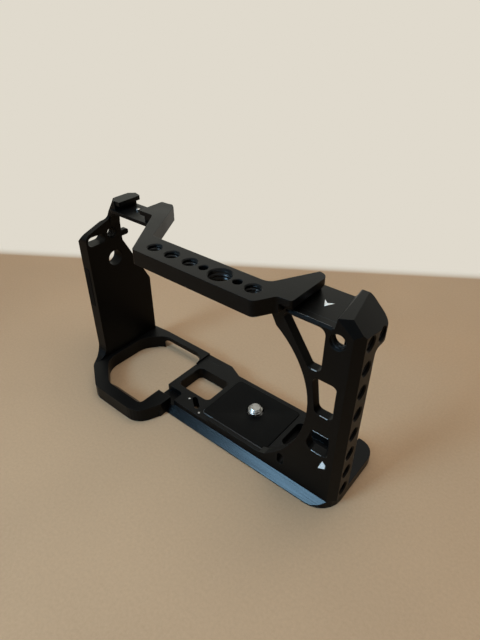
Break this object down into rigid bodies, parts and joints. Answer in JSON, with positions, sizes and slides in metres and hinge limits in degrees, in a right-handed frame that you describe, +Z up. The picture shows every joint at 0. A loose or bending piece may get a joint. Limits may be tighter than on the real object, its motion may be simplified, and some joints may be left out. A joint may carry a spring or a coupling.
{
  "type": "camera cage",
  "caption": "Open frame that bolts round a small camera, with an arc beside the lens, threaded sides, a top bar, a cold shoe, a dovetail base and a battery loop.",
  "frame": {"origin": "under the middle of the cage, on the surface it stands on", "axes": "+X along the camera towards the side with the column of threaded holes, -Y the way the lens looks, +Z up"},
  "size_m": [0.1362, 0.0518, 0.0848],
  "materials": {
    "black_anodised": "satin black anodised",
    "pad_rubber": "matt",
    "bright_steel": "satin",
    "magnet_nickel": "bright",
    "black_steel": "black oxide"
  },
  "bodies": {
    "frame": {"base_plate": "black_anodised", "battery_loop": "black_anodised", "grip_wall": "black_anodised", "front_frame": "black_anodised", "top_plate": "black_anodised", "top_bar": "black_anodised", "shoe_base": "black_anodised", "seat_pad": "pad_rubber", "key_magnets": "magnet_nickel", "loop_screws": "black_steel", "wall_screws": "black_steel", "frame_screws": "black_steel", "top_plate_screws": "black_steel", "bar_screws": "black_steel", "bar_dowel": "bright_steel", "shoe_screws": "black_steel", "post_dowels": "bright_steel", "shoe_stop_pin": "bright_steel"},
    "ring": {"retaining_ring": "bright_steel"},
    "screw": {"camera_screw": "bright_steel"},
    "key": {"flat_key": "bright_steel"}
  },
  "joints": [
    {"name": "screw_lift", "type": "slide", "parent": "frame", "child": "ring", "axis": [0, 0, 1], "range_m": [0, 0.0012]},
    {"name": "screw_turn", "type": "hinge", "parent": "ring", "child": "screw", "pos_m": [0.0179, 0.0093, 0.003], "axis": [0, 0, 1], "continuous": true},
    {"name": "key_slide", "type": "slide", "parent": "frame", "child": "key", "axis": [0, 1, 0], "range_m": [0, 0.03]}
  ]
}
